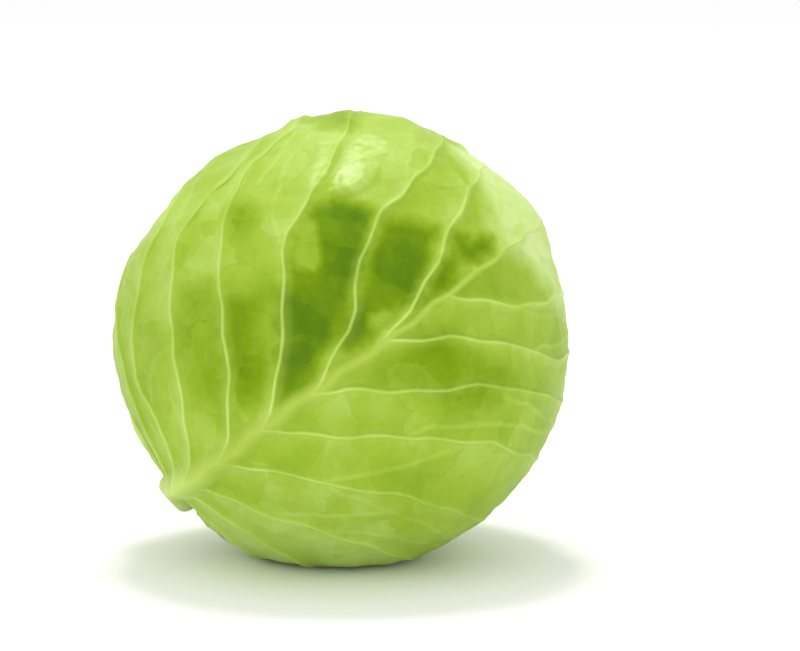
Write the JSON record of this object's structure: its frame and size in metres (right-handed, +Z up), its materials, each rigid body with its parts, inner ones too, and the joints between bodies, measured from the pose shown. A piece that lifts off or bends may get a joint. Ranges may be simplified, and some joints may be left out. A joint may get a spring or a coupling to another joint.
{
  "type": "cabbage head",
  "caption": "Round green cabbage head lying on its side, with loose veined outer leaves wrapped round a dense inner head on a short cut stalk.",
  "frame": {"origin": "middle of the small flat spot on the underside, on which the head rests", "axes": "+Z up, -Y towards the side with the outermost leaf, +X towards the crown, so that the cut stalk is at the lower left"},
  "size_m": [0.1793, 0.1818, 0.1761],
  "materials": {
    "outer_leaf": "waxy fresh leaf",
    "inner_leaf": "pale waxy leaf",
    "stalk": "cut stalk"
  },
  "bodies": {
    "root": {"leaf_1_front": "outer_leaf", "leaf_2_back": "outer_leaf", "leaf_3_under": "outer_leaf", "leaf_4_top": "outer_leaf", "leaf_5_rear": "outer_leaf", "leaf_6_inner": "outer_leaf", "inner_head": "inner_leaf", "stalk": "stalk"}
  },
  "joints": []
}
